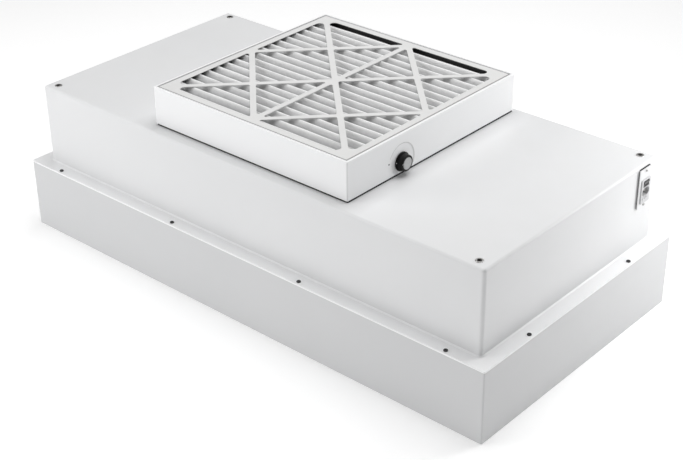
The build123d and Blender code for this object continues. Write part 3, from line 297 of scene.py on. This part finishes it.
def winding(name):
    """Enamelled copper turns in rings round the Z axis."""
    g = Graph(name)
    place = g.axes()
    turn_rate = 5200.0  # radians per metre, which is one wire every 1.2 mm
    turns = g.math("SINE", g.math("MULTIPLY", g.distance(place["X"], place["Y"]), turn_rate))
    colour = g.ramp(g.span(turns, 0.0, 1.0, -1.0, 1.0), (0.2, (0.25, 0.08, 0.02)), (0.8, (0.55, 0.23, 0.07)))
    return g.finish(colour, g.span(g.noise(150.0), 0.25, 0.4), g.bump(turns, 0.0002, 0.6), Coat_Weight=0.4)


def ink(name, level, dark_before=None):
    """Printed ink, broken up a little, and darker up to dark_before along Y."""
    g = Graph(name)
    grain = g.noise(1800.0, 4.0)
    colour = g.ramp(grain, (0.3, grey(level * 0.85)), (0.7, grey(level * 1.1 + 0.01)))
    if dark_before is not None:
        first = g.math("LESS_THAN", g.axes()["Y"], dark_before)
        colour = g.mix(first, colour, g.ramp(grain, (0.3, grey(0.10)), (0.7, grey(0.16))))
    return g.finish(colour, g.span(g.noise(600.0), 0.4, 0.55), g.bump(g.noise(1500.0), 0.00002, 0.5))


def fuse_tube(name):
    """Clear tube between two nickel caps, told apart along X."""
    g = Graph(name)
    low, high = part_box("fuse")
    along = g.span(g.axes()["X"], 0.0, 1.0, low.x, high.x)
    glass = g.math("COMPARE", along, 0.5, 0.23)
    colour = g.mix(glass, (0.66, 0.65, 0.62), (0.82, 0.86, 0.85))
    scratches = g.noise(900.0, 3.0)
    g.feed(g.shader.inputs["Metallic"], g.math("SUBTRACT", 1.0, glass))
    return g.finish(colour, g.span(scratches, 0.12, 0.28), g.bump(scratches, 0.00002, 0.4))


coat = powder_coat("powder_coat", 0.78)
# A darker copy of the shell's white coat for the filter case: painted shade for its walls, which get less
# light.
shaded_case_coat = powder_coat("shaded_case_coat", 0.64)
# A lighter copy of the same coat for the pre-filter housing: painted light for its brightly lit sides.
lit_housing_coat = powder_coat("lit_housing_coat", 0.93, 0.00005)
# A lighter copy of the same coat for the ledge: painted light for its up-facing top.
lit_ledge_coat = powder_coat("lit_ledge_coat", 0.92)
coat_fine = powder_coat("powder_coat_fine", 0.78, 0.00004)
foam = closed_foam("gasket_foam")
zinc = metal("zinc_plate", 0.62, 0.34, 0.012)
galvanised = metal("galvanised_sheet", 0.66, 0.40, -0.006, spangle=90.0)
mill = metal("mill_aluminium", 0.72, 0.34, 0.0, streak=(0.1, 1.0, 1.0))
blackened = metal("blackened_screw", 0.085, 0.42)
nickel = metal("nickel_plate", 0.68, 0.26, 0.02)
motor_steel = metal("varnished_laminations", 0.20, 0.38, 0.01, streak=(1.0, 1.0, 14.0))
black_paint = moulded("black_enamel", (0.02, 0.02, 0.022), 0.38)
rocker_plastic = moulded("rocker_plastic", (0.014, 0.014, 0.015), 0.42)
inlet_plastic = moulded("inlet_plastic", (0.60, 0.60, 0.61), 0.48)
knob_plastic = moulded("knob_plastic", (0.004, 0.004, 0.0045), 0.42, 0.00002, 0.22)
control_plastic = moulded("control_plastic", (0.07, 0.072, 0.078), 0.5)
cable = moulded("cable_jacket", (0.03, 0.03, 0.032), 0.5, 0.00004)
cap_low, cap_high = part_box("knob_cap")
dot_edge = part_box("dial_scale")[0].y + 0.004  # the scale's off dot ends here

LOOKS = {
    coat: ["plenum_shell"],
    lit_ledge_coat: ["ledge_flange"],
    shaded_case_coat: ["filter_case"],
    lit_housing_coat: ["prefilter_housing"],
    coat_fine: ["diffuser_screen", "power_plate"],
    foam: ["hepa_gasket", "joint_gasket", "housing_gasket", "power_gasket", "cable_grommets"],
    zinc: [
        "filter_clamps", "clamp_nuts", "inlet_ring_screws", "motor_posts", "post_screws", "motor_bearings",
        "motor_screws", "motor_shaft", "rotor_screws", "capacitor_clamp", "housing_screws", "control_shaft",
        "hanger_inserts", "power_plate_screws",
    ],
    galvanised: ["inlet_ring", "terminal_box", "motor_bracket"],
    mill: ["hepa_frame", "impeller_wheel", "impeller_shroud", "run_capacitor"],
    blackened: ["ledge_screws"],
    nickel: ["inlet_pins", "control_nut"],
    motor_steel: ["motor_stator"],
    winding("copper_winding"): ["motor_windings"],
    black_paint: ["motor_rotor"],
    open_foam("acoustic_foam"): ["acoustic_liner"],
    card("white_board"): ["prefilter_frame"],
    inlet_plastic: ["inlet_module", "fuse_drawer"],
    rocker_plastic: ["power_rocker"],
    knob_plastic: ["speed_knob"],
    control_plastic: ["speed_control"],
    cable: ["control_cable", "motor_cable"],
    spun_disc("spun_cap", (cap_low + cap_high) / 2): ["knob_cap"],
    ink("white_mark", 0.8): ["knob_pointer"],
    ink("dial_ink", 0.70, dot_edge): ["dial_scale"],
    fuse_tube("fuse_tube"): ["fuse"],
}
for material, names in LOOKS.items():
    for name in names:
        node = nodes[name]
        node.data.materials.clear()
        node.data.materials.append(material)


# ---- pieces with more detail than their CAD solids ----


def piece(name, points, faces, material, body, stands_for, smooth=True):
    """An object of its own that rides a body and replaces the CAD nodes it stands for."""
    mesh = bpy.data.meshes.new(name)
    mesh.from_pydata(points, [], faces)
    mesh.materials.append(material)
    if smooth:
        mesh.shade_smooth()
    made = bpy.data.objects.new(name, mesh)
    bpy.context.scene.collection.objects.link(made)
    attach(made, body)
    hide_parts(*stands_for)
    return made


def strip_faces(rows, columns, start=0, flip=False):
    """Quads between neighbouring points of a grid that is stored row by row."""
    faces = []
    for i in range(rows - 1):
        for j in range(columns - 1):
            a = start + i * columns + j
            quad = (a, a + 1, a + columns + 1, a + columns)
            faces.append(quad[::-1] if flip else quad)
    return faces


def sheet(top, bottom, rows, columns):
    """Points and faces of a closed sheet between two grids of points."""
    count = rows * columns
    faces = strip_faces(rows, columns) + strip_faces(rows, columns, count, flip=True)
    border = list(range(columns))
    border += [i * columns + columns - 1 for i in range(1, rows)]
    border += [(rows - 1) * columns + j for j in range(columns - 2, -1, -1)]
    border += [i * columns for i in range(rows - 2, 0, -1)]
    for a, b in zip(border, border[1:] + border[:1]):
        faces.append((b, a, a + count, b + count))
    return list(top) + list(bottom), faces


PLEATS = 18


def pleated_pad():
    """The pre-filter's pad: rounded folds that run along X and wander a little."""
    low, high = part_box("prefilter_media")
    per_fold, columns = 18, 61
    rows = PLEATS * per_fold + 1
    thick = 0.0032
    pointedness = 0.975  # 1 gives sharp folds, less gives rounder ones
    wander, droop = 0.0011, 0.0006
    middle, swing = (low.z + high.z) / 2, (high.z - low.z - thick) / 2
    top, bottom = [], []
    for i in range(rows):
        turn = i / per_fold
        wave = math.asin(pointedness * math.cos(2 * math.pi * turn)) / math.asin(pointedness)
        y = low.y + (high.y - low.y) * i / (rows - 1)
        for j in range(columns):
            x = low.x + (high.x - low.x) * j / (columns - 1)
            drift = noise.noise(Vector((x * 9.0, round(turn) * 3.7, 1.5)))
            sag = droop * (1 + noise.noise(Vector((x * 14.0, y * 14.0, 7.3))))
            fade = min(1.0, i / per_fold, (rows - 1 - i) / per_fold)
            z = middle - swing * wave - (sag if wave < 0 else 0.0)
            shifted = y + wander * drift * fade
            top.append((x, shifted, z + thick / 2))
            bottom.append((x, shifted, z - thick / 2))
    points, faces = sheet(top, bottom, rows, columns)
    felt = fleece("pad_fleece", low.z, high.z)
    piece("prefilter_pad", points, faces, felt, "prefilter", ["prefilter_media"])


def hepa_pack():
    """The HEPA's fine pleats, seen from the room through the face guard."""
    low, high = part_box("hepa_media")
    folds = 300
    rows = folds * 2 + 1
    thick = 0.0006
    top, bottom = [], []
    for i in range(rows):
        x = low.x + (high.x - low.x) * i / (rows - 1)
        z = low.z + thick if i % 2 == 0 else high.z - thick
        for y in (low.y, high.y):
            top.append((x, y, z + thick))
            bottom.append((x, y, z - thick))
    points, faces = sheet(top, bottom, rows, 2)
    paper = filter_paper("filter_paper")
    piece("hepa_pleats", points, faces, paper, "case", ["hepa_media"], False)


def expanded_guard():
    """Expanded-metal face guard: zigzag strands that meet at their bonds, in a folded edge."""
    low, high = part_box("hepa_faceguard")
    strand, edge = 0.0022, 0.012
    long_pitch, short_pitch = 0.0254, 0.0115
    bow = 0.42  # how far a strand swings to each side, as a share of its row
    columns = int((high.x - low.x - 2 * edge) / (long_pitch / 2))
    rows = int((high.y - low.y - 2 * edge) / (short_pitch / 2))
    step_x = (high.x - low.x - 2 * edge) / columns
    step_y = (high.y - low.y - 2 * edge) / rows
    points, faces = [], []
    for r in range(rows):
        first = len(points)
        base = low.y + edge + (r + 0.5) * step_y
        for c in range(columns + 1):
            x = low.x + edge + c * step_x
            side = 1 if (c + r) % 2 == 0 else -1
            y = base + side * step_y * bow
            for dy, z in ((-1, low.z), (1, low.z), (1, high.z), (-1, high.z)):
                points.append((x, y + dy * strand / 2, z))
        for c in range(columns):
            a = first + 4 * c
            for k in range(4):
                b = (k + 1) % 4
                faces.append((a + k, a + b, a + 4 + b, a + 4 + k))
        faces.append((first + 3, first + 2, first + 1, first))
        last = first + 4 * columns
        faces.append((last, last + 1, last + 2, last + 3))
    outer = [(low.x, low.y), (high.x, low.y), (high.x, high.y), (low.x, high.y)]
    inner = [(low.x + edge, low.y + edge), (high.x - edge, low.y + edge)]
    inner += [(high.x - edge, high.y - edge), (low.x + edge, high.y - edge)]
    first = len(points)
    for z in (low.z, high.z):
        points += [(x, y, z) for x, y in outer + inner]
    for k in range(4):
        n = (k + 1) % 4
        a, b, c, d = first + k, first + n, first + 4 + n, first + 4 + k
        faces += [(a, d, c, b), (a + 8, b + 8, c + 8, d + 8), (a, b, b + 8, a + 8), (d, d + 8, c + 8, c)]
    piece("face_guard", points, faces, coat_fine, "case", ["hepa_faceguard"], False)


pleated_pad()
hepa_pack()
expanded_guard()


# ---- stage, lights and camera ----


def area_light(name, place, target, size, power):
    data = bpy.data.lights.new(name, "AREA")
    data.shape = "RECTANGLE"
    data.size, data.size_y = size
    data.energy = power
    made = bpy.data.objects.new(name, data)
    made.location = place
    made.rotation_euler = (Vector(target) - Vector(place)).to_track_quat("-Z", "Y").to_euler()
    made.visible_camera = False
    bpy.context.scene.collection.objects.link(made)


def stage_floor():
    """A pale floor that glows faintly, so that it stays white to the edges of the picture."""
    g = Graph("floor_paper")
    colour = g.ramp(g.noise(1.2, 3.0), (0.3, (0.88, 0.88, 0.88)), (0.7, (0.90, 0.90, 0.90)))
    g.finish(
        colour, 0.9, g.bump(g.noise(300.0), 0.0001, 0.2), Specular_IOR_Level=0.1, Emission_Color=(1, 1, 1, 1),
        Emission_Strength=0.27,
    )
    mesh = bpy.data.meshes.new("floor")
    half = 30.0
    corners = [(-half, -half, 0), (half, -half, 0), (half, half, 0), (-half, half, 0)]
    mesh.from_pydata(corners, [], [(0, 1, 2, 3)])
    mesh.materials.append(g.material)
    made = bpy.data.objects.new("floor", mesh)
    bpy.context.scene.collection.objects.link(made)


stage_floor()
world = bpy.data.worlds.new("studio")
world.use_nodes = True
world.node_tree.nodes["Background"].inputs["Color"].default_value = (1.0, 1.0, 1.0, 1)
world.node_tree.nodes["Background"].inputs["Strength"].default_value = 0.22
bpy.context.scene.world = world
area_light("overhead", (0.1, 0.6, 3.2), (0.1, 0.0, 0.2), (2.6, 2.6), 75)
area_light("front_left", (-1.8, -2.6, 1.3), (-0.1, -0.3, 0.2), (1.6, 1.2), 42)
area_light("back_right", (0.92, 0.55, 0.5), (0.58, 0.2, 0.2), (0.3, 0.3), 2.6)

AZIMUTH, ELEVATION, ROLL = math.radians(41.76), math.radians(29.87), math.radians(-0.71)
DISTANCE = 2.755
SENSOR, LENS = 36.0, 76.25359  # millimetres
AIM = Vector((0.1581, -0.1585, 0.200))

back = Vector((
    math.sin(AZIMUTH) * math.cos(ELEVATION),
    -math.cos(AZIMUTH) * math.cos(ELEVATION),
    math.sin(ELEVATION),
))
right = Vector((math.cos(AZIMUTH), math.sin(AZIMUTH), 0.0))
up = back.cross(right)
side = math.cos(ROLL) * right + math.sin(ROLL) * up
over = -math.sin(ROLL) * right + math.cos(ROLL) * up

camera = bpy.data.cameras.new("camera")
camera.sensor_width = SENSOR
camera.lens = LENS
camera_object = bpy.data.objects.new("camera", camera)
camera_object.rotation_mode = "QUATERNION"
camera_object.rotation_quaternion = Matrix((side, over, back)).transposed().to_quaternion()
camera_object.location = AIM + back * DISTANCE
bpy.context.scene.collection.objects.link(camera_object)
bpy.context.scene.camera = camera_object
bpy.context.scene.view_settings.view_transform = "Standard"
